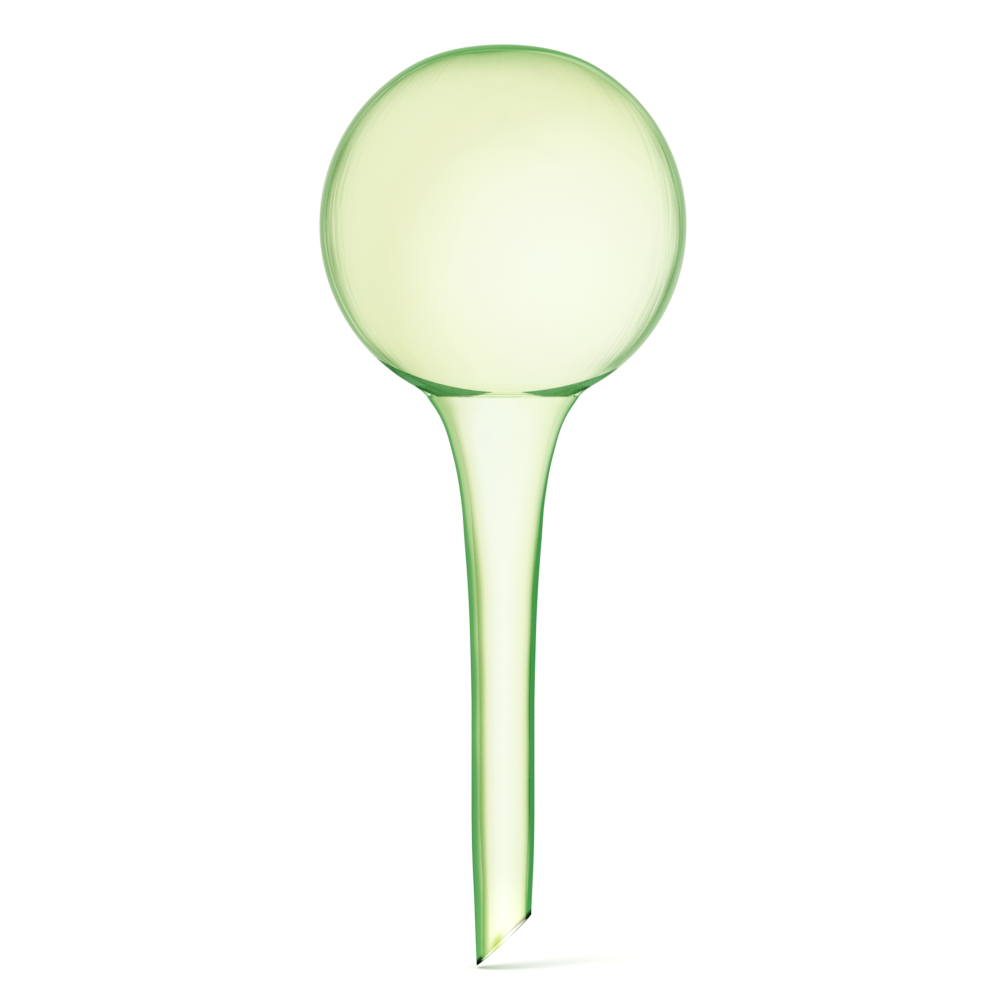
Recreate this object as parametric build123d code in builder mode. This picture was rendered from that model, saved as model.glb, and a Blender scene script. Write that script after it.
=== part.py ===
"""Watering globe: a hollow blown ball bonded onto a flared, hollow stake with a slanted tip.

Lengths are in millimetres and angles in degrees. The origin lies on the stem's axis, in the
middle of its straight stretch. +Z points up, so the stake points down as it does in the soil,
and the slanted cut faces down and to +X.
"""

import os
from math import cos, radians, sin, sqrt, tan

from build123d import *

os.makedirs("parts", exist_ok=True)

# The ball: a blown sphere with a slightly flattened crown and a thicker moulded floor
globe_radius = 45.0
globe_wall = 1.15
crown_flattening = 0.55
crown_angle = 32.0
floor_radius = 55.2
floor_blend = 25.0
throat_radius = 4.7
throat_depth = 1.3
throat_round = 0.3

# The joint: the ball's flat underside lies level in the stem's mouth, and cement fills the groove
neck_height = 89.1
underside_radius = 16.2
seat_width = 1.4
rim_width = 1.0
mouth_slope = 34.0
bond_width = 3.0
bond_hollow = 0.15

# The stem: straight in the middle, flaring up to the mouth and easing in towards the tip
stem_radius = 7.73
stem_wall = 1.55
straight_length = 28.0
outlet_radius = 5.4
outlet_height = -30.0
tip_waist_radius = 7.1
tip_waist_height = -34.0
tip_end_radius = 6.1
cut_height = -44.3
cut_angle = 43.0
cut_overrun = 8.0

# The flare's outline from the straight part up, as shares of its rise in height and in radius
flare_shares = [(0.14, 0.02), (0.335, 0.067), (0.53, 0.16), (0.678, 0.25), (0.824, 0.448), (0.925, 0.68)]

# Places worked out from the sizes above
straight_top = straight_length / 2
straight_bottom = -straight_length / 2
globe_centre = neck_height + sqrt(globe_radius**2 - underside_radius**2)
globe_top = globe_centre + globe_radius - crown_flattening
cavity_radius = globe_radius - globe_wall
seat_radius = underside_radius + seat_width
mouth_radius = seat_radius + rim_width
bond_radius = mouth_radius + bond_width
floor_centre = neck_height + throat_depth + sqrt(floor_radius**2 - throat_radius**2)
bore_radius = stem_radius - stem_wall
stem_end = cut_height - stem_radius * tan(radians(cut_angle)) - cut_overrun


def sphere_point(centre, radius, across):
    """The point in the lower half of a sphere that lies this far from the axis."""
    return (across, centre - sqrt(radius**2 - across**2))


def seat_point(across):
    """A point of the ball's own outer surface, where the stem and the bond touch it."""
    return sphere_point(globe_centre, globe_radius, across)


def crown_point(radius, angle):
    """The point of a sphere round the ball's centre at this angle from its top."""
    return (radius * sin(radians(angle)), globe_centre + radius * cos(radians(angle)))


def flare_points(narrow, wide):
    """The flare's points, from the straight part's radius up to the mouth's."""
    rise = neck_height - straight_top
    return [(narrow + (wide - narrow) * across, straight_top + rise * up) for up, across in flare_shares]


# The inner sphere meets the shallower floor sphere at this distance from the axis
centre_gap = floor_centre - globe_centre
meeting_drop = (floor_radius**2 - cavity_radius**2 - centre_gap**2) / (2 * centre_gap)
meeting_radius = sqrt(cavity_radius**2 - meeting_drop**2)
crown_tangent = (cos(radians(crown_angle)), -sin(radians(crown_angle)))
mouth_tangent = (-sin(radians(mouth_slope)), -cos(radians(mouth_slope)))

with BuildPart() as globe:
    with BuildSketch(Plane.XZ) as globe_profile:
        with BuildLine():
            crown_edge = crown_point(globe_radius, crown_angle)
            inner_crown_edge = crown_point(cavity_radius, crown_angle)
            flat_edge = seat_point(underside_radius)
            floor_edge = sphere_point(floor_centre, floor_radius, throat_radius)
            blend_point = sphere_point(globe_centre, cavity_radius, meeting_radius)
            floor_middle = sphere_point(floor_centre, floor_radius, (throat_radius + meeting_radius) / 2)
            Spline((0, globe_top), crown_edge, tangents=[(1, 0), crown_tangent])
            ThreePointArc(crown_edge, (globe_radius, globe_centre), flat_edge)
            Line(flat_edge, (throat_radius, neck_height))
            Line((throat_radius, neck_height), floor_edge)
            ThreePointArc(floor_edge, floor_middle, blend_point)
            ThreePointArc(blend_point, (cavity_radius, globe_centre), inner_crown_edge)
            inner_tangent = (-crown_tangent[0], -crown_tangent[1])
            Spline(inner_crown_edge, (0, globe_top - globe_wall), tangents=[inner_tangent, (-1, 0)])
            Line((0, globe_top - globe_wall), (0, globe_top))
        make_face()
        fillet(globe_profile.vertices().sort_by_distance(blend_point)[0], radius=floor_blend)
        throat_corners = [(throat_radius, neck_height), floor_edge]
        for corner in throat_corners:
            fillet(globe_profile.vertices().sort_by_distance(corner)[0], radius=throat_round)
    revolve(axis=Axis.Z)

with BuildPart() as stem:
    with BuildSketch(Plane.XZ):
        with BuildLine():
            seat_start = (underside_radius, neck_height)
            seat_end = seat_point(seat_radius)
            rim_edge = (mouth_radius, neck_height)
            tip_waist = (tip_waist_radius, tip_waist_height)
            tip_end = (tip_end_radius, stem_end)
            outer_flare = [rim_edge] + flare_points(stem_radius, mouth_radius)[::-1]
            inner_flare = flare_points(bore_radius, underside_radius) + [seat_start]
            ThreePointArc(seat_start, seat_point((underside_radius + seat_radius) / 2), seat_end)
            Line(seat_end, rim_edge)
            Spline(*outer_flare, (stem_radius, straight_top), tangents=[mouth_tangent, (0, -1)])
            Line((stem_radius, straight_top), (stem_radius, straight_bottom))
            Spline((stem_radius, straight_bottom), tip_waist, tip_end, tangents=[(0, -1), (-0.1, -1)])
            Line(tip_end, (outlet_radius, stem_end))
            Line((outlet_radius, stem_end), (outlet_radius, outlet_height))
            Line((outlet_radius, outlet_height), (bore_radius, straight_bottom))
            Line((bore_radius, straight_bottom), (bore_radius, straight_top))
            up_mouth = (-mouth_tangent[0], -mouth_tangent[1])
            Spline((bore_radius, straight_top), *inner_flare, tangents=[(0, 1), up_mouth])
        make_face()
    revolve(axis=Axis.Z)
    cut_normal = (-sin(radians(cut_angle)), 0, cos(radians(cut_angle)))
    split(bisect_by=Plane(origin=(0, 0, cut_height), z_dir=cut_normal), keep=Keep.TOP)

# The cement is cast against the rim and the ball, so the ball itself is taken out of its ring
with BuildPart() as neck_bond:
    with BuildSketch(Plane.XZ):
        with BuildLine():
            groove_root = seat_point(seat_radius)
            bond_edge = seat_point(bond_radius)
            SagittaArc(bond_edge, (mouth_radius, neck_height), -bond_hollow)
            Polyline((mouth_radius, neck_height), groove_root, (seat_radius, bond_edge[1]), bond_edge)
        make_face()
    revolve(axis=Axis.Z)
    with Locations((0, 0, globe_centre)):
        Sphere(globe_radius, mode=Mode.SUBTRACT)

globe.part.label = "globe"
stem.part.label = "stem"
neck_bond.part.label = "neck_bond"
export_step(globe.part, "parts/globe.step")
export_step(stem.part, "parts/stem.step")
export_step(neck_bond.part, "parts/neck_bond.step")

low_end = stem.part.bounding_box().min.Z
print(f"overall height {globe_top - low_end:.1f}, ball centre at {globe_centre:.2f}, top at {globe_top:.2f}")
print(f"floor meets the cavity wall {meeting_radius:.1f} from the axis")
for piece in (globe.part, stem.part, neck_bond.part):
    print(f"{piece.label}: {len(piece.solids())} solid, {piece.volume / 1000:.2f} cm3")
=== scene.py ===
# %% [markdown]
# # A watering globe of clear green plastic
# The object is a hollow ball that holds water and a hollow stake that lets it out into the soil.
# Both are clear, so almost all that the eye gets is what their walls do to the light: the middle
# stays pale, and the places where one looks along a wall turn deep green.
# This lesson loads the CAD model as the frame, turns clean glassy shells round its axis, gives them
# a tinted see-through material, and lights them in front of white.

from math import asin, atan2, cos, hypot, pi, radians, sin, sqrt, tau

import bmesh
import bpy
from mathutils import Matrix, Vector


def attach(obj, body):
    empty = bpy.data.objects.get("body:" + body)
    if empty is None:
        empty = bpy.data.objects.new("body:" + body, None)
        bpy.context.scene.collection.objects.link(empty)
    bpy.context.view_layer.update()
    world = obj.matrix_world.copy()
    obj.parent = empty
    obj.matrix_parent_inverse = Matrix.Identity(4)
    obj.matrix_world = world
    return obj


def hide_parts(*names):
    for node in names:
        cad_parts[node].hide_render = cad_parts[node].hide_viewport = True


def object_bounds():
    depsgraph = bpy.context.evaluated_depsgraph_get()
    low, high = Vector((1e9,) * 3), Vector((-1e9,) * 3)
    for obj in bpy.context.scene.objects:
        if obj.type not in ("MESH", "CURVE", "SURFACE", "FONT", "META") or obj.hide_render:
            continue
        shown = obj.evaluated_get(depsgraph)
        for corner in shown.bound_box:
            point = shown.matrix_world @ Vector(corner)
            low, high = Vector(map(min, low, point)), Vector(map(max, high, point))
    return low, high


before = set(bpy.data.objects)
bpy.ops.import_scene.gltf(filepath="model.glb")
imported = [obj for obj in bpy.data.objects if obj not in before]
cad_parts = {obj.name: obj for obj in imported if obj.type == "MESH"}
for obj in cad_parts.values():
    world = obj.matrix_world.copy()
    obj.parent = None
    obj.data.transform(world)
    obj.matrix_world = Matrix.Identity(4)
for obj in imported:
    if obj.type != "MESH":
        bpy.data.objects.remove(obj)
cad_low, cad_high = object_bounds()
print("CAD box in metres:", [round(x, 4) for x in cad_low], [round(x, 4) for x in cad_high])

# %% [markdown]
# ## The sizes
# The shells are turned from the CAD model's own lengths, in millimetres, which become metres as the
# points are placed. Outside they follow the solids, except that the crown lies half a millimetre
# lower. Inside the ball the wall and the floor are drawn as the light shows them, because clear
# plastic shows every tenth of a millimetre. The ball's radius is a hundredth less than its solid's,
# so that it stays in the solid's box.

# %% The sizes, in millimetres
MM = 0.001
ball_radius, ball_wall = 44.99, 1.5
neck_height, underside_radius = 89.1, 16.2
seat_radius, mouth_radius, bond_radius = 17.6, 18.6, 21.6
throat_radius = 4.7
stem_radius, stem_wall = 7.73, 1.55
straight_half = 14.0
lap = 0.03
ball_centre = neck_height + sqrt(ball_radius**2 - underside_radius**2)
cavity_radius = ball_radius - ball_wall
bore_radius = stem_radius - stem_wall
print(f"ball centre {ball_centre:.2f} mm above the frame's origin")

# %% [markdown]
# ## The camera
# The photograph looks at the globe dead level, as if from a metre away, and shows 245 mm from top to
# bottom. The focal length follows from that, and a shift of a few thousandths puts the axis where
# it is in the picture. The camera comes first because every later step is judged through it.

# %% The camera
image_width, image_height = 999, 1000
axis_pixel, origin_pixel = 503, 760
mm_per_pixel = 0.2452
camera_distance = 1000.0
sensor_size = 36.0

camera_data = bpy.data.cameras.new("camera")
camera_data.sensor_width = sensor_size
camera_data.lens = sensor_size * camera_distance / (image_height * mm_per_pixel)
camera_data.shift_x = (image_width / 2 - axis_pixel) / image_height
camera = bpy.data.objects.new("camera", camera_data)
camera_height = (origin_pixel - image_height / 2) * mm_per_pixel
camera.location = (0, -camera_distance * MM, camera_height * MM)
camera.rotation_euler = (pi / 2, 0, 0)
bpy.context.scene.collection.objects.link(camera)
bpy.context.scene.camera = camera
print(f"lens {camera_data.lens:.0f} mm, camera {camera_height:.1f} mm above the origin")

# %% [markdown]
# ## Drawing an outline
# Every part of the globe is round about one upright axis, so each is drawn as half an outline and
# then turned, as on a lathe. Blender's spin does both jobs: it swings a single point round a centre
# to draw an arc, and it swings the finished outline round the axis to make the shell.

# %% Helpers that draw an outline
def place(across, up):
    """A point of an outline, in metres, from its distance to the axis and its height in millimetres."""
    return Vector((across * MM, 0, up * MM))


def draw_line(bm, start, across, up, parts=1):
    """Draws a straight line from a point in so many parts, and returns its last point."""
    end = place(across, up)
    first = start.co.copy()
    for part in range(1, parts + 1):
        start = bmesh.ops.extrude_vert_indiv(bm, verts=[start])["verts"][0]
        start.co = first.lerp(end, part / parts)
    return start


def draw_arc(bm, start, centre_up, angle, parts):
    """Swings a point round a centre on the axis, and returns the arc's last point."""
    swung = bmesh.ops.spin(
        bm, geom=[start], cent=place(0, centre_up), axis=(0, 1, 0), angle=angle, steps=parts)
    return swung["geom_last"][0]


def bake_mesh(item):
    """A new mesh of an object as its curve or its modifiers make it."""
    bpy.context.view_layer.update()
    return bpy.data.meshes.new_from_object(item.evaluated_get(bpy.context.evaluated_depsgraph_get()))


def draw_curve(bm, start, knots, parts):
    """Draws on through these knots along a smooth Bezier curve, and returns its last point."""
    data = bpy.data.curves.new("outline", "CURVE")
    data.dimensions = "3D"
    data.resolution_u = parts
    line = data.splines.new("BEZIER")
    line.bezier_points.add(len(knots))
    for point, co in zip(line.bezier_points, [start.co.copy()] + [place(*knot) for knot in knots]):
        point.co = co
        point.handle_left_type = point.handle_right_type = "AUTO"
    holder = bpy.data.objects.new("outline", data)
    bpy.context.scene.collection.objects.link(holder)
    drawn = bake_mesh(holder)
    for vertex in drawn.vertices[1:]:
        start = bmesh.ops.extrude_vert_indiv(bm, verts=[start])["verts"][0]
        start.co = vertex.co
    bpy.data.objects.remove(holder)
    bpy.data.curves.remove(data)
    bpy.data.meshes.remove(drawn)
    return start


# %% [markdown]
# ## From outline to shell
# The outline is turned through a full circle and its ends are merged at the poles. Clear plastic
# shows both skins of its wall, so the shell must be closed and its faces must point outwards, or
# the light would bend the wrong way. The volume's sign tells which way they point.

# %% Helpers that turn an outline and finish the shell
turns = 192
merge_reach = 2e-7  # in metres


def turn_outline(bm):
    """Turns what is drawn round the upright axis, and closes the seam and the poles."""
    bmesh.ops.spin(bm, geom=bm.verts[:] + bm.edges[:], cent=(0, 0, 0), axis=(0, 0, 1),
                   angle=tau, steps=turns, use_merge=True)
    bmesh.ops.remove_doubles(bm, verts=bm.verts, dist=merge_reach)


def make_object(bm, name):
    """Puts a bmesh into the scene as an object, and frees it."""
    mesh = bpy.data.meshes.new(name)
    bm.to_mesh(mesh)
    bm.free()
    made = bpy.data.objects.new(name, mesh)
    bpy.context.scene.collection.objects.link(made)
    return made


def finish_shell(bm, name, crease=radians(25)):
    """Makes the shell an object with outward faces and smooth shading, except at sharp creases."""
    bmesh.ops.recalc_face_normals(bm, faces=bm.faces)
    if bm.calc_volume(signed=True) < 0:
        bmesh.ops.reverse_faces(bm, faces=bm.faces)
    open_edges = sum(not edge.is_manifold for edge in bm.edges)
    volume = bm.calc_volume(signed=True) / MM**3 / 1000
    shell = make_object(bm, name)
    shell.data.shade_smooth()
    shell.data.set_sharp_from_angle(angle=crease)
    print(f"{name}: {len(shell.data.polygons)} faces, {open_edges} open edges, {volume:.2f} cm3 of plastic")
    return shell


# %% [markdown]
# ## Where a wall shows its green
# Seen square on, a thin wall is nearly colourless. The more the view turns along it the longer its
# way through the plastic is, and it is longest where the view just misses the hollow. How turned away
# the skin is there follows from the wall and the distance to the axis, so each point of a skin carries
# that limit in a layer named grazing, and the material reads it. An inner skin has 1 or more, so it
# greens at its very edge or not at all. A flat that shouldn't turn green at any angle has a limit far
# out of reach.

# %% Helpers for the limit
never_grazing = 20.0


def start_shell():
    """A new bmesh, with a layer for the limit."""
    bm = bmesh.new()
    return bm, bm.verts.layers.float.new("grazing")


def just_missing(across, wall):
    """How turned away the outer skin is where a view just misses the hollow: 0 square on, 1 edge on."""
    return 1 - sqrt(1 - (1 - wall / max(across, 2 * wall)) ** 2)


def step(x):
    """0 below 0, 1 above 1, and a smooth rise between."""
    x = min(1, max(0, x))
    return x * x * (3 - 2 * x)


print(f"a view that just misses the ball's hollow is {just_missing(ball_radius, ball_wall):.2f} turned away")

# %% [markdown]
# ## The ball
# A real one is blow moulded: a soft tube of plastic is blown against a hollow mould, which leaves
# a thin wall. The outer skin starts at the crown, runs round to a level foot, and goes in to the
# throat. The cavity starts under the crown and ends on a thin floor. Just inside each corner stands
# one more point, so that the limit changes at the corner and not along the whole flat.

# %% The ball's two skins
outer_parts, inner_parts, flat_parts = 84, 130, 3
floor_thickness = 0.2
floor_low = neck_height + floor_thickness
inner_reach = sqrt(cavity_radius**2 - (ball_centre - floor_low)**2)

bm, grazing = start_shell()
crown = bm.verts.new(place(0, ball_centre + ball_radius))
foot_edge = draw_arc(bm, crown, ball_centre, pi - asin(underside_radius / ball_radius), outer_parts)
skin_points = len(bm.verts)
foot_inside = draw_line(bm, foot_edge, underside_radius - lap, neck_height)
throat_low = draw_line(bm, foot_inside, throat_radius, neck_height, flat_parts)
outer_points = len(bm.verts)
inner_crown = bm.verts.new(place(0, ball_centre + cavity_radius))
floor_edge = draw_arc(bm, inner_crown, ball_centre, pi - asin(inner_reach / cavity_radius), inner_parts)
floor_points = len(bm.verts)
floor_inside = draw_line(bm, floor_edge, inner_reach - lap, floor_low)
throat_high = draw_line(bm, floor_inside, throat_radius, floor_low, flat_parts)
bm.edges.new((throat_high, throat_low))
print(f"the floor meets the cavity's wall {inner_reach:.1f} mm from the axis")

# %% [markdown]
# ## The ball's uneven wall
# No blown wall is even. This one is a little thicker on the right and was drawn thinner at the right
# shoulder, where the green rim is narrower. Low down, where the wall runs into the foot, the skin
# shows no rim of its own, because the webs there are green enough.

# %% Where the ball's wall shows its green
# Walls and heights are in millimetres, and where the shoulder starts is a share of the radius
thicker_side = 0.35
thinner_shoulder, shoulder_starts, shoulder_fade = 1.0, 0.9, 2
foot_starts, foot_limit = 98.0, 1.35

bm.verts.ensure_lookup_table()
for number, vertex in enumerate(bm.verts):
    vertex[grazing] = 0.0 if number < outer_points else 1.0
for vertex in bm.verts[skin_points:outer_points] + bm.verts[floor_points:]:
    vertex[grazing] = never_grazing
turn_outline(bm)
for vertex in bm.verts:
    if vertex[grazing] == 0:
        x, _, z = vertex.co / MM
        in_foot = step((foot_starts - z) / (foot_starts - neck_height))
        up_right = (x + z - ball_centre) / ball_radius
        blown_thin = thinner_shoulder * step(shoulder_fade * (up_right - shoulder_starts))
        limit = just_missing(ball_radius, ball_wall + thicker_side * x / ball_radius - blown_thin)
        vertex[grazing] = limit + (foot_limit - limit) * in_foot
print(f"ball turned: {len(bm.verts)} points")

# %% [markdown]
# ## The crown
# The crown has sagged by a millimetre while the blown ball was still soft. The move fades out
# smoothly, so that no edge shows where it ends.

# %% Let the crown sag
crown_drop, crown_angle = 1.0, radians(32)
for vertex in bm.verts:
    x, y, z = vertex.co / MM
    polar = atan2(hypot(x, y), z - ball_centre)
    if polar < crown_angle:
        vertex.co.z -= crown_drop * cos(pi / 2 * polar / crown_angle) ** 2 * MM
globe = finish_shell(bm, "globe_shell")

# %% [markdown]
# ## The thick webs in the ball's foot
# The mould's two halves pinch the tube shut below the ball, and the plastic that they squeeze aside
# gathers along the parting line, in one thick web on either side of the throat. From the front they
# make the green crescent above the neck. The outline of one web, with a shallow arch on top and an
# undercut tip, is extruded to its thickness, thinned towards the top, and mirrored.

# %% The webs' outline
web_tip, web_foot, web_reach = 3.6, 9.4, 34.0
arch_curve, web_least, arch_parts = 64.0, 0.95, 40
web_half_thickness, web_taper = 3.6, 0.06
web_offset = 0.9
arch_centre = neck_height + web_least + arch_curve

bm = bmesh.new()
tip = bm.verts.new(place(web_tip, arch_centre - sqrt(arch_curve**2 - web_tip**2)))
arch_angle = asin(web_tip / arch_curve) - asin(web_reach / arch_curve)
arch_end = draw_arc(bm, tip, arch_centre, arch_angle, arch_parts)
corner = draw_line(bm, arch_end, web_reach, neck_height + lap)
low_tip = draw_line(bm, corner, web_foot, neck_height + lap)
bm.edges.new((low_tip, tip))
side = bmesh.ops.contextual_create(bm, geom=bm.edges[:])["faces"]
bmesh.ops.translate(bm, verts=bm.verts, vec=(0, -web_half_thickness * MM, 0))
far_side = bmesh.ops.extrude_face_region(bm, geom=side)["geom"]
far_points = [item for item in far_side if isinstance(item, bmesh.types.BMVert)]
bmesh.ops.translate(bm, verts=far_points, vec=(0, 2 * web_half_thickness * MM, 0))
bmesh.ops.recalc_face_normals(bm, faces=bm.faces)
for vertex in bm.verts:
    vertex.co.y *= 1 - web_taper * (vertex.co.z / MM - neck_height)
bmesh.ops.mirror(bm, geom=bm.verts[:] + bm.edges[:] + bm.faces[:], axis="X", merge_dist=0)
bmesh.ops.recalc_face_normals(bm, faces=bm.faces)
bmesh.ops.translate(bm, verts=bm.verts, vec=(web_offset * MM, 0, 0))
arches = make_object(bm, "arches")
print(f"webs drawn, {2 * web_half_thickness:.1f} mm thick at the foot")

# %% [markdown]
# ## Fitting the webs to the ball
# A Boolean modifier keeps what the webs and a solid ball share. That ball is a tenth of a millimetre
# smaller than the outer skin, so the webs stand in the wall without coming through it.

# %% Fit the webs
web_inset = 0.12
bm = bmesh.new()
bmesh.ops.create_uvsphere(bm, u_segments=turns, v_segments=turns // 2, radius=(ball_radius - web_inset) * MM)
bmesh.ops.translate(bm, verts=bm.verts, vec=place(0, ball_centre))
ball_fill = make_object(bm, "ball_fill")
cutter = ball_fill.modifiers.new("arch", "BOOLEAN")
cutter.operation, cutter.object, cutter.solver = "INTERSECT", arches, "EXACT"
fitted = bake_mesh(ball_fill)

bm = bmesh.new()
bm.from_mesh(fitted)
grazing = bm.verts.layers.float.new("grazing")
for vertex in bm.verts:
    vertex[grazing] = never_grazing
spare_meshes = arches.data, ball_fill.data, fitted
for item in (arches, ball_fill):
    bpy.data.objects.remove(item)
for mesh in spare_meshes:
    bpy.data.meshes.remove(mesh)
webs = finish_shell(bm, "foot_webs")

# %% [markdown]
# ## The stem
# The stake is a second moulding: a mouth as wide as the ball's foot, a flare that eases into a
# straight tube, and a tip. Its outline is a closed loop, down the outside and up the bore. The
# flare's knots are the CAD's, and a Bezier curve with automatic handles runs smoothly through them.

# %% Helpers for the stem's outline
flare_shares = [(0.14, 0.02), (0.335, 0.067), (0.53, 0.16), (0.678, 0.25), (0.824, 0.448), (0.925, 0.68)]
flare_rise = neck_height - straight_half


def flare_knots(narrow, wide):
    """The flare's knots from the straight part up, between two radii."""
    return [(narrow + (wide - narrow) * across, straight_half + flare_rise * up)
            for up, across in [(0, 0)] + flare_shares + [(1, 1)]]


def seat_height(across):
    """The height of the ball's outer skin over this place, with the lap taken into the ball."""
    return ball_centre - sqrt((ball_radius - lap)**2 - across**2)


# %% The stem's outline
stem_end = -60
tip_knots = [(7.6, -22), (7.35, -28.5), (7.1, -34), (6.85, -41), (6.5, -50), (6.1, stem_end)]
outlet_radius, outlet_height = 5.4, -30
flare_parts, straight_parts, tip_parts, outlet_parts, taper_parts = 12, 4, 6, 3, 2

bm, grazing = start_shell()
cut_darkening = bm.verts.layers.float.new("cut_darkening")
pressed = bm.verts.layers.float.new("pressed")
tilt = bm.verts.layers.float.new("tilt")
rim = bm.verts.new(place(mouth_radius, neck_height))
straight_top = draw_curve(bm, rim, flare_knots(stem_radius, mouth_radius)[-2::-1], flare_parts)
straight_low = draw_line(bm, straight_top, stem_radius, -straight_half, straight_parts)
tip_end = draw_curve(bm, straight_low, tip_knots, tip_parts)
outer_points = len(bm.verts)
outlet_end = draw_line(bm, tip_end, outlet_radius, stem_end)
outlet_top = draw_line(bm, outlet_end, outlet_radius, outlet_height, outlet_parts)
bore_low = draw_line(bm, outlet_top, bore_radius, -straight_half, taper_parts)
bore_top = draw_line(bm, bore_low, bore_radius, straight_half, straight_parts)
last = draw_curve(bm, bore_top, flare_knots(bore_radius, underside_radius)[1:], flare_parts)
for across in (underside_radius, (underside_radius + seat_radius) / 2, seat_radius):
    last = draw_line(bm, last, across, seat_height(across))
bm.verts.ensure_lookup_table()
for number, vertex in enumerate(bm.verts):
    vertex[grazing] = 0.0 if number < outer_points else 1.0
bm.edges.new((last, rim))
turn_outline(bm)
print(f"stem turned: {len(bm.verts)} points")

# %% [markdown]
# ## The bore's run-out
# The core pin of a mould is seldom dead centred, so one side of the wall comes out thicker, and that
# side shows a broader green band. The flare is another matter. It leans outwards, so even its middle
# is turned away a little, and a layer named tilt tells the material to count from there. Its limit
# is given at the left and the right, because its wall changes too fast for the plain formula.

# %% Shift the bore
# Shifts, heights and the tip's length are in millimetres, and the mouth's other values are limits
bore_shift, shift_fades = 0.42, 62
mouth_starts, mouth_tilt = 38, 0.17
mouth_left, mouth_right, bore_rise = 0.66, 0.83, 1.3
tip_length, tip_shift = 16, 0.2

for vertex in bm.verts:
    x, y, z = vertex.co / MM
    across = hypot(x, y)
    shift = bore_shift * (1 - step((z - shift_fades) / (neck_height - shift_fades)))
    in_mouth = step((z - mouth_starts) / (neck_height - mouth_starts))
    vertex[tilt] = mouth_tilt * in_mouth
    if vertex[grazing] == 1:
        vertex.co.x += shift * MM
        vertex[grazing] = 1 + bore_rise * in_mouth
    else:
        in_tip = min(1, max(0, (-z - straight_half) / tip_length))
        limit = just_missing(across, stem_wall - (shift + tip_shift * in_tip) * x / across)
        at_mouth = mouth_left + (mouth_right - mouth_left) * (x / across + 1) / 2
        vertex[grazing] = limit + (at_mouth - limit) * in_mouth
print(f"the bore lies {bore_shift} mm to the right of the stem's axis")

# %% [markdown]
# ## The slanted cut
# The tip is cut off at 43 degrees, so that it slides into the soil. A bisect clears what is beyond
# the cut, and bridging its two loops closes the wall again. Two more bisects close behind the cut
# only add points, so that the marks on its edge have something to fade out on.

# %% Cut the tip
cut_height, cut_angle = -44.3, radians(43)
darkening_reach, press_reach = 1.1, 2.6


def slice_shell(bm, height, clear_beyond=False):
    """Slices the shell parallel to the tip's cut, along a plane that meets the axis at this height."""
    bmesh.ops.bisect_plane(
        bm, geom=bm.verts[:] + bm.edges[:] + bm.faces[:], plane_co=place(0, height),
        plane_no=(sin(cut_angle), 0, -cos(cut_angle)), clear_outer=clear_beyond)


slice_shell(bm, cut_height, clear_beyond=True)
bmesh.ops.bridge_loops(bm, edges=[edge for edge in bm.edges if edge.is_boundary])
for reach in (darkening_reach, press_reach):
    slice_shell(bm, cut_height + reach / cos(cut_angle))
print(f"tip cut: {len(bm.verts)} points left")

# %% [markdown]
# ## The marks on the cut's edge
# The cut's two corners are nearly black, its right half is darker than
# its left, and one spot left of the middle is pressed thicker and reads yellow-green. None of these
# is a shape, so each is a value on the points, strongest at the cut itself.

# %% Mark the cut's edge
# Distances to the left and right of the axis, in millimetres. The heel is the cut's upper corner.
corner_fade, heel_starts, toe_starts = 1.2, 5, 4.6
right_starts, right_fade, right_share = 0.5, 3, 0.45
press_middle, press_width = -1.5, 2.4

for vertex in bm.verts:
    x, _, z = vertex.co / MM
    from_cut = (z - cut_height) * cos(cut_angle) - x * sin(cut_angle)
    at_heel, at_toe = step((x - heel_starts) / corner_fade), step((-x - toe_starts) / corner_fade)
    at_right = right_share * step((x - right_starts) / right_fade)
    at_press = step(1 - abs(x - press_middle) / press_width)
    # Darker at the cut's two corners and along its right half, most at the cut itself
    vertex[cut_darkening] = max(at_toe, at_heel, at_right) * max(0, 1 - from_cut / darkening_reach)
    vertex[pressed] = at_press * max(0, 1 - from_cut / press_reach)
stem = finish_shell(bm, "stem_shell")

# %% [markdown]
# ## The bond
# A bead of clear solvent cement fills the groove between the ball and the mouth's rim, and seals it.
# It was wiped, so its surface is slightly hollow. Its other two sides lap into its neighbours by a
# few hundredths of a millimetre, because two clear bodies that only touch would show a film of air.

# %% The bond's ring
bond_hollow, bond_limit, bond_crease = 0.15, 0.8, radians(40)
hollow_parts, seat_parts, root_gap = 4, 8, 0.05

bm, grazing = start_shell()
bond_top = bm.verts.new(place(bond_radius, seat_height(bond_radius)))
rim_point = Vector((mouth_radius, neck_height))
top_point = Vector((bond_radius, seat_height(bond_radius) - lap))
inward = (top_point - rim_point).orthogonal().normalized()
if inward.x > 0:
    inward = -inward
hollow_knots = []
for share in (0, 0.25, 0.5, 0.75):
    knot = top_point.lerp(rim_point, share) + inward * bond_hollow * 4 * share * (1 - share)
    hollow_knots.append(tuple(knot))
skin = draw_curve(bm, bond_top, hollow_knots + [tuple(rim_point)], hollow_parts)
root = draw_line(bm, skin, seat_radius + root_gap, neck_height - lap)
last = draw_line(bm, root, seat_radius, seat_height(seat_radius))
for part in range(1, seat_parts):
    across = seat_radius + (bond_radius - seat_radius) * part / seat_parts
    last = draw_line(bm, last, across, seat_height(across))
bm.edges.new((last, bond_top))
for vertex in bm.verts:
    vertex[grazing] = bond_limit
turn_outline(bm)
bond = finish_shell(bm, "bond_bead", bond_crease)

# %% [markdown]
# ## Colours and nodes
# Colours are written as the hex values that a picture editor shows, and one function turns them
# into the linear values that Blender's sockets take. Another adds a node with its settings and links.
# A Mix node has sockets of the same name for each kind of data, so its colour ones go by number.

# %% Helpers for colours and nodes
MIX_A, MIX_B, MIX_RESULT = 6, 7, 2


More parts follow.
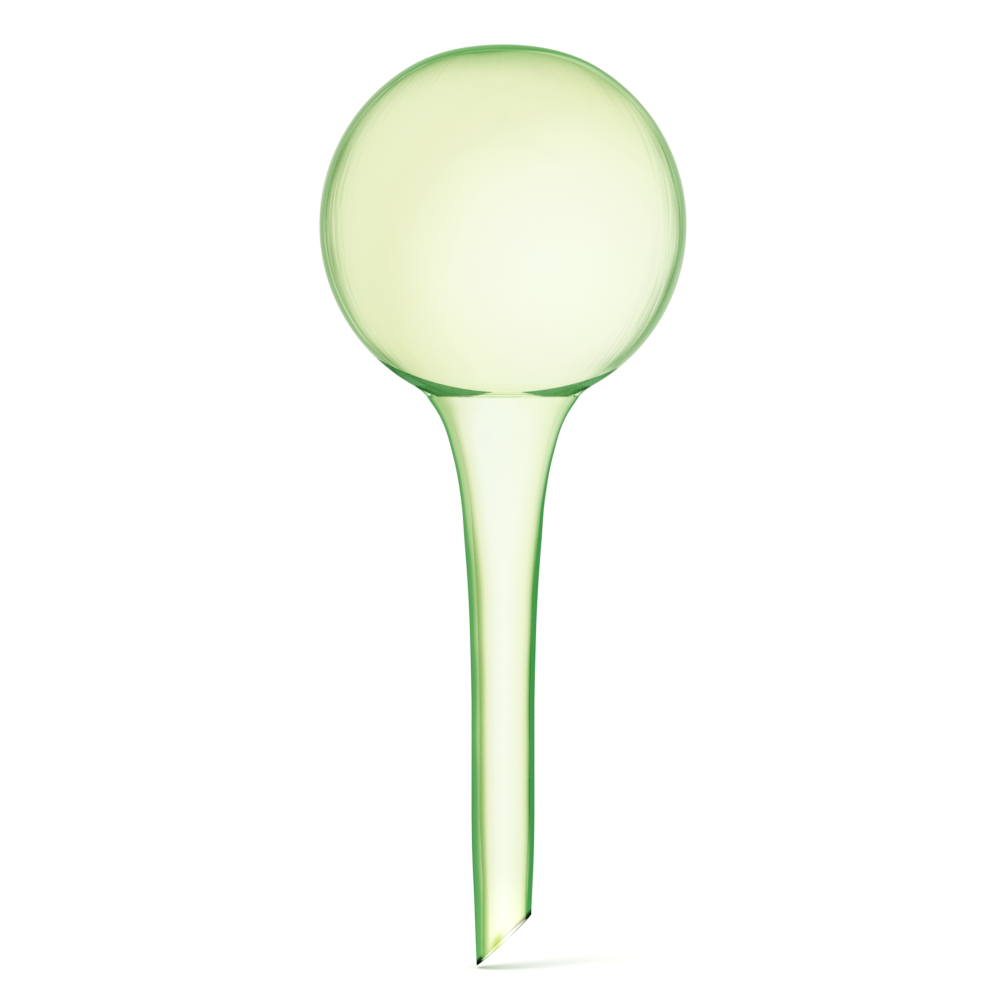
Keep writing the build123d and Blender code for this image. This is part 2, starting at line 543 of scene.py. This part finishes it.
def colour(hex_code):
    """The linear colour of an sRGB hex value."""
    values = [int(hex_code[i:i + 2], 16) / 255 for i in (1, 3, 5)]
    return [v / 12.92 if v <= 0.04045 else ((v + 0.055) / 1.055) ** 2.4 for v in values] + [1]


def add_node(tree, kind, settings=None, sockets=None):
    """Adds a node, sets its settings, and fills its sockets with values or links."""
    node = tree.nodes.new(kind)
    for name, value in (settings or {}).items():
        setattr(node, name, value)
    for name, value in (sockets or {}).items():
        if isinstance(value, bpy.types.NodeSocket):
            tree.links.new(value, node.inputs[name])
        else:
            node.inputs[name].default_value = value
    return node


def set_ramp(node, stops):
    """Gives a colour ramp these stops, each a place and a hex colour, and returns its colour."""
    ramp = node.color_ramp
    while len(ramp.elements) < len(stops):
        ramp.elements.new(0.5)
    for element, (position, hex_code) in zip(ramp.elements, stops):
        element.position = position
        element.color = colour(hex_code)
    return node.outputs["Color"]


# %% [markdown]
# ## Patterns in millimetres
# A pattern's place and scale are given in millimetres on the piece itself. One helper tells how far
# a point lies along a line, which is how one colour changes over to another across the piece. The
# other is a soft cloud, for everything that no mould makes quite even.

# %% Helpers for the patterns
def share_along(tree, where, start, end):
    """How far a point lies along a line given in millimetres, from 0 at its start to 1 at its end."""
    start, end = Vector(start) * MM, Vector(end) * MM
    along = end - start
    offset = add_node(tree, "ShaderNodeVectorMath", {"operation": "SUBTRACT"}, {0: where, 1: start})
    share = add_node(tree, "ShaderNodeVectorMath", {"operation": "DOT_PRODUCT"},
                     {0: offset.outputs["Vector"], 1: along / along.length_squared})
    return add_node(tree, "ShaderNodeClamp", None, {"Value": share.outputs["Value"]}).outputs["Result"]


def drift(tree, where, size_mm, amount, detail=1.0):
    """A cloud of so many millimetres that wanders by half this amount to either side of nothing."""
    cloud = add_node(tree, "ShaderNodeTexNoise", None,
                     {"Vector": where, "Scale": 1 / (size_mm * MM), "Detail": detail})
    return add_node(tree, "ShaderNodeMath", {"operation": "MULTIPLY_ADD"},
                    {0: cloud.outputs["Fac"], 1: amount, 2: -amount / 2}).outputs["Value"]


# %% [markdown]
# ## How far the view runs through a wall
# Looked at along its skin, tinted plastic gets greener. Layer Weight says how turned away the skin
# is, and that is stretched so that 0 is square on, 0.5 is where the view just misses the hollow, and
# 1 is edge on. One ramp then fits every place of a wall, thick or thin.

# %% Stretch the angle to the wall
edge_on = 1.0001  # a hair over 1, so that the second half of the range never closes


def stretch_to_wall(tree, facing):
    """0 square on, 0.5 where the view just misses the hollow, and 1 edge on."""
    limit = add_node(tree, "ShaderNodeAttribute", {"attribute_name": "grazing"}).outputs["Fac"]
    tilted = add_node(tree, "ShaderNodeAttribute", {"attribute_name": "tilt"}).outputs["Fac"]
    before = add_node(tree, "ShaderNodeMapRange", None,
                      {"Value": facing, "From Min": tilted, "From Max": limit, "To Max": 0.5})
    # A limit over 1 is out of reach, so the second half of the range then never starts
    in_reach = add_node(tree, "ShaderNodeMath", {"operation": "MINIMUM"}, {0: limit, 1: 1.0})
    beyond = add_node(tree, "ShaderNodeMapRange", None,
                      {"Value": facing, "From Min": in_reach.outputs["Value"], "From Max": edge_on,
                       "To Max": 0.5})
    return add_node(tree, "ShaderNodeMath", {"operation": "ADD"},
                    {0: before.outputs["Result"], 1: beyond.outputs["Result"]}).outputs["Value"]


# %% [markdown]
# ## Flow lines and thick places
# Blowing and moulding draw the plastic out, which leaves fine lines along the piece and places that
# are a little thicker. Real flow lines are a few tenths of a millimetre wide, about a pixel, so they
# are drawn 1.3 mm wide to show. The cloud that makes them is read by the direction round the axis
# and hardly by height, so they run from pole to pole. Near the axis they would meet in a star, so
# they fade out there. They shift the place at which the ramp is read, so they show where it is steep.

# %% Make the wall uneven
# Widths, sizes and distances are in millimetres, and amounts are shares of the stretched angle
flow_width, flow_amount, flow_detail = 1.3, 0.85, 2.0
flow_spread, flow_along = 45, 0.06
flow_starts, flow_full = 14, 40
patch_size, patch_amount = 22, 0.5


def make_uneven(tree, where, graze, unevenness):
    """Shifts the share along the wall by flow lines and thick places."""
    level = add_node(tree, "ShaderNodeVectorMath", {"operation": "MULTIPLY"}, {0: where, 1: (1, 1, 0)})
    around = add_node(tree, "ShaderNodeVectorMath", {"operation": "NORMALIZE"}, {0: level.outputs["Vector"]})
    spread = add_node(tree, "ShaderNodeVectorMath", {"operation": "SCALE"},
                      {0: around.outputs["Vector"], "Scale": flow_spread * MM})
    drawn = add_node(tree, "ShaderNodeVectorMath", {"operation": "MULTIPLY_ADD"},
                     {0: where, 1: (0, 0, flow_along), 2: spread.outputs["Vector"]})
    lines = drift(tree, drawn.outputs["Vector"], flow_width, flow_amount * unevenness, flow_detail)
    off_axis = add_node(tree, "ShaderNodeVectorMath", {"operation": "LENGTH"}, {0: level.outputs["Vector"]})
    shown = add_node(tree, "ShaderNodeMapRange", None,
                     {"Value": off_axis.outputs["Value"], "From Min": flow_starts * MM,
                      "From Max": flow_full * MM})
    lines = add_node(tree, "ShaderNodeMath", {"operation": "MULTIPLY"},
                     {0: lines, 1: shown.outputs["Result"]})
    patches = drift(tree, where, patch_size, patch_amount * unevenness)
    wander = add_node(tree, "ShaderNodeMath", {"operation": "ADD"}, {0: lines.outputs["Value"], 1: patches})
    wander = add_node(tree, "ShaderNodeMath", {"operation": "MULTIPLY"},
                      {0: wander.outputs["Value"], 1: graze})
    return add_node(tree, "ShaderNodeMath", {"operation": "ADD"},
                    {0: graze, 1: wander.outputs["Value"]}).outputs["Value"]


# %% [markdown]
# ## The body's tint and its painted highlight
# The ball is palest low on the right, where a soft highlight is painted into its tint, and gets yellower
# away from that place. A plain gradient along a line would look ruled, so the distance from the place
# is taken, with a soft cloud in it. It is measured across and up only, so that the front wall and the
# back wall, which are seen through each other, agree.

# %% Tint the body and paint its highlight
# The ball's painted soft highlight is palest at this place, in millimetres, and fades out over the second
# distance
highlight_place, highlight_fades_over = (18, 0, ball_centre - 14), 55
highlight_cloud_size, highlight_cloud_amount = 30, 0.22


def tint_and_paint_highlight(tree, where, stops):
    """The body's colour by the distance to the ball's palest place, where the highlight is painted."""
    flat = add_node(tree, "ShaderNodeVectorMath", {"operation": "MULTIPLY"}, {0: where, 1: (1, 0, 1)})
    away = add_node(tree, "ShaderNodeVectorMath", {"operation": "DISTANCE"},
                    {0: flat.outputs["Vector"], 1: Vector(highlight_place) * MM})
    share = add_node(tree, "ShaderNodeMath", {"operation": "MULTIPLY"},
                     {0: away.outputs["Value"], 1: 1 / (highlight_fades_over * MM)})
    reach = add_node(tree, "ShaderNodeMath", {"operation": "ADD"},
                     {0: share.outputs["Value"], 1: drift(tree, where, highlight_cloud_size, highlight_cloud_amount)})
    return set_ramp(add_node(tree, "ShaderNodeValToRGB", None, {"Fac": reach.outputs["Value"]}), stops)


# %% [markdown]
# ## The colour of the marks
# The dark corners are darkest where the view runs along the wall.
# The pressed spot is yellow-green right through. Both read the layers
# that the stem carries, and a piece without those layers reads nothing there and stays clean.

# %% Colour the marks
# The first colour darkens the cut's corners and its right half, and the second marks the pressed spot
cut_dark_colour, press_colour = "#07180c", "#d8e47c"
darkening_square_on, darkening_starts, darkening_full = 0.22, 0.05, 0.4


def mark_cut(tree, body, graze):
    """Lays the dark corners and the pressed spot over the body's colour."""
    darkening = add_node(tree, "ShaderNodeAttribute", {"attribute_name": "cut_darkening"}).outputs["Fac"]
    depth = add_node(tree, "ShaderNodeMath", {"operation": "ADD"}, {0: graze, 1: darkening_square_on})
    darkened_share = add_node(tree, "ShaderNodeMath", {"operation": "MULTIPLY"},
                     {0: darkening, 1: depth.outputs["Value"]})
    black = add_node(tree, "ShaderNodeMapRange", None,
                     {"Value": darkened_share.outputs["Value"], "From Min": darkening_starts, "From Max": darkening_full})
    body = add_node(tree, "ShaderNodeMix", {"data_type": "RGBA"},
                    {"Factor": black.outputs["Result"], MIX_A: body, MIX_B: colour(cut_dark_colour)})
    press = add_node(tree, "ShaderNodeAttribute", {"attribute_name": "pressed"}).outputs["Fac"]
    return add_node(tree, "ShaderNodeMix", {"data_type": "RGBA", "blend_type": "MULTIPLY"},
                    {"Factor": press, MIX_A: body.outputs[MIX_RESULT],
                     MIX_B: colour(press_colour)}).outputs[MIX_RESULT]


# %% [markdown]
# ## Clear green PVC
# Clear PVC bends light with an IOR of 1.53, but nothing behind this globe looks bent, so the body's
# IOR is brought down until the light runs almost straight. A thin Coat with about the plastic's own
# IOR then gives the gloss where one looks at it squarely. The plastic is tinted right through, so a
# Volume Absorption also darkens the light with every millimetre of wall that it crosses.

# %% The plastic's maker
body_ior, coat_ior, coat_roughness = 1.001, 1.5, 0.03
gloss_weight, gloss_ends = 0.3, 0.45
depth_colour = "#a8e294"


def tinted_pvc(name, first_rim, second_rim, rim_line, body_stops, depth_mm, unevenness):
    """Clear tinted plastic: two rims that change over along a line, and a body tint that drifts, with a
    painted highlight in it.
    """
    material = bpy.data.materials.new(name)
    material.use_nodes = True
    tree = material.node_tree
    tree.nodes.clear()
    where = add_node(tree, "ShaderNodeTexCoord").outputs["Object"]
    facing = add_node(tree, "ShaderNodeLayerWeight", None, {"Blend": 0.5}).outputs["Facing"]
    graze = stretch_to_wall(tree, facing)
    uneven = make_uneven(tree, where, graze, unevenness)

    first = set_ramp(add_node(tree, "ShaderNodeValToRGB", None, {"Fac": uneven}), first_rim)
    second = set_ramp(add_node(tree, "ShaderNodeValToRGB", None, {"Fac": uneven}), second_rim)
    rim = add_node(tree, "ShaderNodeMix", {"data_type": "RGBA"},
                   {"Factor": share_along(tree, where, *rim_line), MIX_A: first, MIX_B: second})
    body = add_node(tree, "ShaderNodeMix", {"data_type": "RGBA", "blend_type": "MULTIPLY"},
                    {"Factor": 1.0, MIX_A: tint_and_paint_highlight(tree, where, body_stops),
                     MIX_B: rim.outputs[MIX_RESULT]})
    body = mark_cut(tree, body.outputs[MIX_RESULT], graze)

    gloss = add_node(tree, "ShaderNodeMapRange", None,
                     {"Value": facing, "From Max": gloss_ends, "To Min": gloss_weight, "To Max": 0.0})
    shader = add_node(tree, "ShaderNodeBsdfPrincipled", None, {
        "Base Color": body, "Roughness": 0.0, "IOR": body_ior, "Transmission Weight": 1.0,
        "Coat Weight": gloss.outputs["Result"], "Coat Roughness": coat_roughness, "Coat IOR": coat_ior})
    depth = add_node(tree, "ShaderNodeVolumeAbsorption", None,
                     {"Color": colour(depth_colour), "Density": 1 / (depth_mm * MM)})
    add_node(tree, "ShaderNodeOutputMaterial", None,
             {"Surface": shader.outputs["BSDF"], "Volume": depth.outputs["Volume"]})
    return material


# %% [markdown]
# ## The ball's finish
# Blow moulded PVC is thin and pale. Its rim turns a soft green round the sides and a deeper one over
# the crown, where the plastic looks thicker. So the rim has two ramps, and they change over on the
# way up.

# %% The ball's finish
ball_side = [(0.0, "#ffffff"), (0.31, "#fefefb"), (0.39, "#f6f9f3"), (0.46, "#d7e5cf"), (0.55, "#9cc092"),
             (1.0, "#e4eade")]
ball_crown = [(0.0, "#ffffff"), (0.25, "#fcfdf6"), (0.4, "#e8f0dc"), (0.49, "#cfe6c4"), (0.54, "#68b065"),
              (1.0, "#b5d8ae")]
crown_line = (0, 0, ball_centre + 31), (0, 0, ball_centre + 43)
# From the painted highlight outwards: nearly white low on the right, yellower away from it
ball_tint_and_highlight = [(0.1, "#fefff8"), (0.4, "#fdfdf5"), (0.6, "#fcfdf1"), (0.85, "#f7f8e4"), (1.0, "#f8f9e8")]
blown_pvc = tinted_pvc("blow_moulded_clear_green_pvc", ball_side, ball_crown, crown_line, ball_tint_and_highlight, 45, 1.0)
print(f"{blown_pvc.name}: {len(blown_pvc.node_tree.nodes)} nodes")

# %% [markdown]
# ## The stem's finish
# Moulded PVC has a thicker and more even wall, which turns deep green sooner. The left wall is the
# thicker one, and shows a broad band that starts yellowish. The right one shows a narrow, plain band.

# %% The stem's finish
stem_left = [(0.0, "#ffffff"), (0.18, "#f8f8e8"), (0.3, "#d2e1b6"), (0.5, "#b4d499"), (0.62, "#6cb066"),
             (1.0, "#3d974f")]
stem_right = [(0.0, "#fffffc"), (0.22, "#fafbeb"), (0.34, "#e2eed0"), (0.42, "#b2d49c"), (0.5, "#4aa054"),
              (1.0, "#379247")]
stem_line = (-5, 0, 0), (5, 0, 0)
stem_tint = [(0.0, "#fdfef9"), (1.0, "#fdfef9")]
moulded_pvc = tinted_pvc("moulded_clear_green_pvc", stem_left, stem_right, stem_line, stem_tint, 40, 0.8)
print(f"{moulded_pvc.name}: {len(moulded_pvc.node_tree.nodes)} nodes")

# %% [markdown]
# ## The finish of the webs and the bond
# The webs are the thickest plastic of all, so they are green right through and need no rim. Solvent
# cement is nearly clear, and greens only at its edge, where it has melted some of the plastic into it.

# %% The webs' and the bond's finish
no_rim = even_tint = [(0.0, "#fffffe"), (1.0, "#fffffe")]
# The webs too are painted a little paler towards the highlight
web_tint_and_highlight = [(0.3, "#78b482"), (1.0, "#64a67a")]
bond_rim = [(0.0, "#fffffe"), (0.42, "#fcfef9"), (0.5, "#cfe6c6"), (0.7, "#79b273"), (1.0, "#86ba80")]
pinched_pvc = tinted_pvc("pinched_clear_green_pvc", no_rim, no_rim, stem_line, web_tint_and_highlight, 180, 0.0)
cement = tinted_pvc("clear_solvent_cement", bond_rim, bond_rim, stem_line, even_tint, 400, 0.0)
for shell, material in ((globe, blown_pvc), (stem, moulded_pvc), (webs, pinched_pvc), (bond, cement)):
    shell.data.materials.append(material)
    print(f"{shell.name} wears {material.name}")

# %% [markdown]
# ## Light and background
# The photograph is a cut-out on white, lit so softly that the globe throws no shadow to speak of.
# The world gives that soft light at a plain level, and it is plain white to the camera and to what is
# seen through or in the plastic. One large lamp from the upper left gives a direction.

# %% World and lamp
# The lamp's size and place are in metres
WHITE = (1, 1, 1, 1)
room_light = 0.92
lamp_size, lamp_watts = 0.9, 6.0
lamp_place, lamp_aim = (-0.7, -0.6, 1.0), (0, 0, 0.06)


def looking(tree):
    """1 for the camera and for what is seen in gloss or through a clear body, and 0 for light."""
    path = add_node(tree, "ShaderNodeLightPath").outputs
    seen = path["Is Camera Ray"]
    for other in ("Is Glossy Ray", "Is Transmission Ray"):
        seen = add_node(tree, "ShaderNodeMath", {"operation": "MAXIMUM"},
                        {0: seen, 1: path[other]}).outputs["Value"]
    return seen


world = bpy.data.worlds.new("studio")
bpy.context.scene.world = world
world.use_nodes = True
tree = world.node_tree
tree.nodes.clear()
strength = add_node(tree, "ShaderNodeMapRange", None,
                    {"Value": looking(tree), "To Min": room_light, "To Max": 1.0})
background = add_node(tree, "ShaderNodeBackground", None,
                      {"Color": WHITE, "Strength": strength.outputs["Result"]})
add_node(tree, "ShaderNodeOutputWorld", None, {"Surface": background.outputs["Background"]})

lamp_data = bpy.data.lights.new("soft_box", "AREA")
lamp_data.shape = "DISK"
lamp_data.size = lamp_size
lamp_data.energy = lamp_watts
lamp = bpy.data.objects.new("soft_box", lamp_data)
lamp.location = lamp_place
lamp.rotation_euler = (Vector(lamp_aim) - lamp.location).to_track_quat("-Z", "Y").to_euler()
lamp.visible_glossy = lamp.visible_transmission = False
bpy.context.scene.collection.objects.link(lamp)
print(f"room light {room_light}, lamp {lamp_watts} W")

# %% [markdown]
# ## The floor
# A pale floor lies just under the tip and keeps the globe's shadow. Further out it turns by degrees
# into plain white for whatever looks at it, so that it runs into the background with no edge.

# %% The floor's disc
# The gap is in millimetres, and the disc's radius in metres
floor_gap, floor_segments = 0.4, 96
floor_radius = 3.0
bm = bmesh.new()
bmesh.ops.create_circle(bm, cap_ends=True, segments=floor_segments, radius=floor_radius)
bmesh.ops.translate(bm, verts=bm.verts, vec=(0, 0, cad_low.z - floor_gap * MM))
floor = make_object(bm, "floor")
print(f"floor {floor_gap} mm under the tip, {2 * floor_radius:.0f} m across")

# %% The floor's paper
# Matt white paper shows no gloss, only the shadow. It fades between these distances, in metres.
paper_colour, paper_glow = "#f9f9f7", 0.1
fade_starts, fade_ends = 0.05, 0.3

paper = bpy.data.materials.new("matt_white_paper")
paper.use_nodes = True
tree = paper.node_tree
tree.nodes.clear()
seen = looking(tree)
where = add_node(tree, "ShaderNodeTexCoord").outputs["Object"]
flat = add_node(tree, "ShaderNodeVectorMath", {"operation": "MULTIPLY"}, {0: where, 1: (1, 1, 0)})
reach = add_node(tree, "ShaderNodeVectorMath", {"operation": "LENGTH"}, {0: flat.outputs["Vector"]})
fade = add_node(tree, "ShaderNodeMapRange", {"interpolation_type": "SMOOTHSTEP"},
                {"Value": reach.outputs["Value"], "From Min": fade_starts, "From Max": fade_ends})
faded = add_node(tree, "ShaderNodeMath", {"operation": "MULTIPLY"}, {0: seen, 1: fade.outputs["Result"]})
matt = add_node(tree, "ShaderNodeBsdfDiffuse", None, {"Color": colour(paper_colour)})
lift = add_node(tree, "ShaderNodeMath", {"operation": "MULTIPLY"}, {0: seen, 1: paper_glow})
glow = add_node(tree, "ShaderNodeEmission", None, {"Color": WHITE, "Strength": lift.outputs["Value"]})
near = add_node(tree, "ShaderNodeAddShader", None, {0: matt.outputs["BSDF"], 1: glow.outputs["Emission"]})
far = add_node(tree, "ShaderNodeEmission", None, {"Color": WHITE, "Strength": 1.0})
both = add_node(tree, "ShaderNodeMixShader", None,
                {0: faded.outputs["Value"], 1: near.outputs["Shader"], 2: far.outputs["Emission"]})
add_node(tree, "ShaderNodeOutputMaterial", None, {"Surface": both.outputs["Shader"]})
floor.data.materials.append(paper)
print(f"floor wears {paper.name}")

# %% [markdown]
# ## Settings that belong to the look
# Clear shells inside each other need more bounces than the default, or light that is caught in a
# wall would end in black. The colours are shown as they are, with the Standard view.

# %% Bounces and view
bounces = 24
scene = bpy.context.scene
scene.cycles.max_bounces = scene.cycles.glossy_bounces = scene.cycles.transmission_bounces = bounces
scene.view_settings.view_transform = "Standard"
print(f"{bounces} bounces, {scene.view_settings.view_transform} view")

# %% [markdown]
# ## Back to the frame
# Each shell stands for its CAD solid, which is hidden, and rides on the one body that the part has.

# %% Hand the pieces to the frame
for shell, node, slot in ((globe, "globe", "globe"), (webs, "globe", "globe"),
                          (stem, "stem", "stem"), (bond, "neck_bond", "bond")):
    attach(shell, "root")
    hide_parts(node)
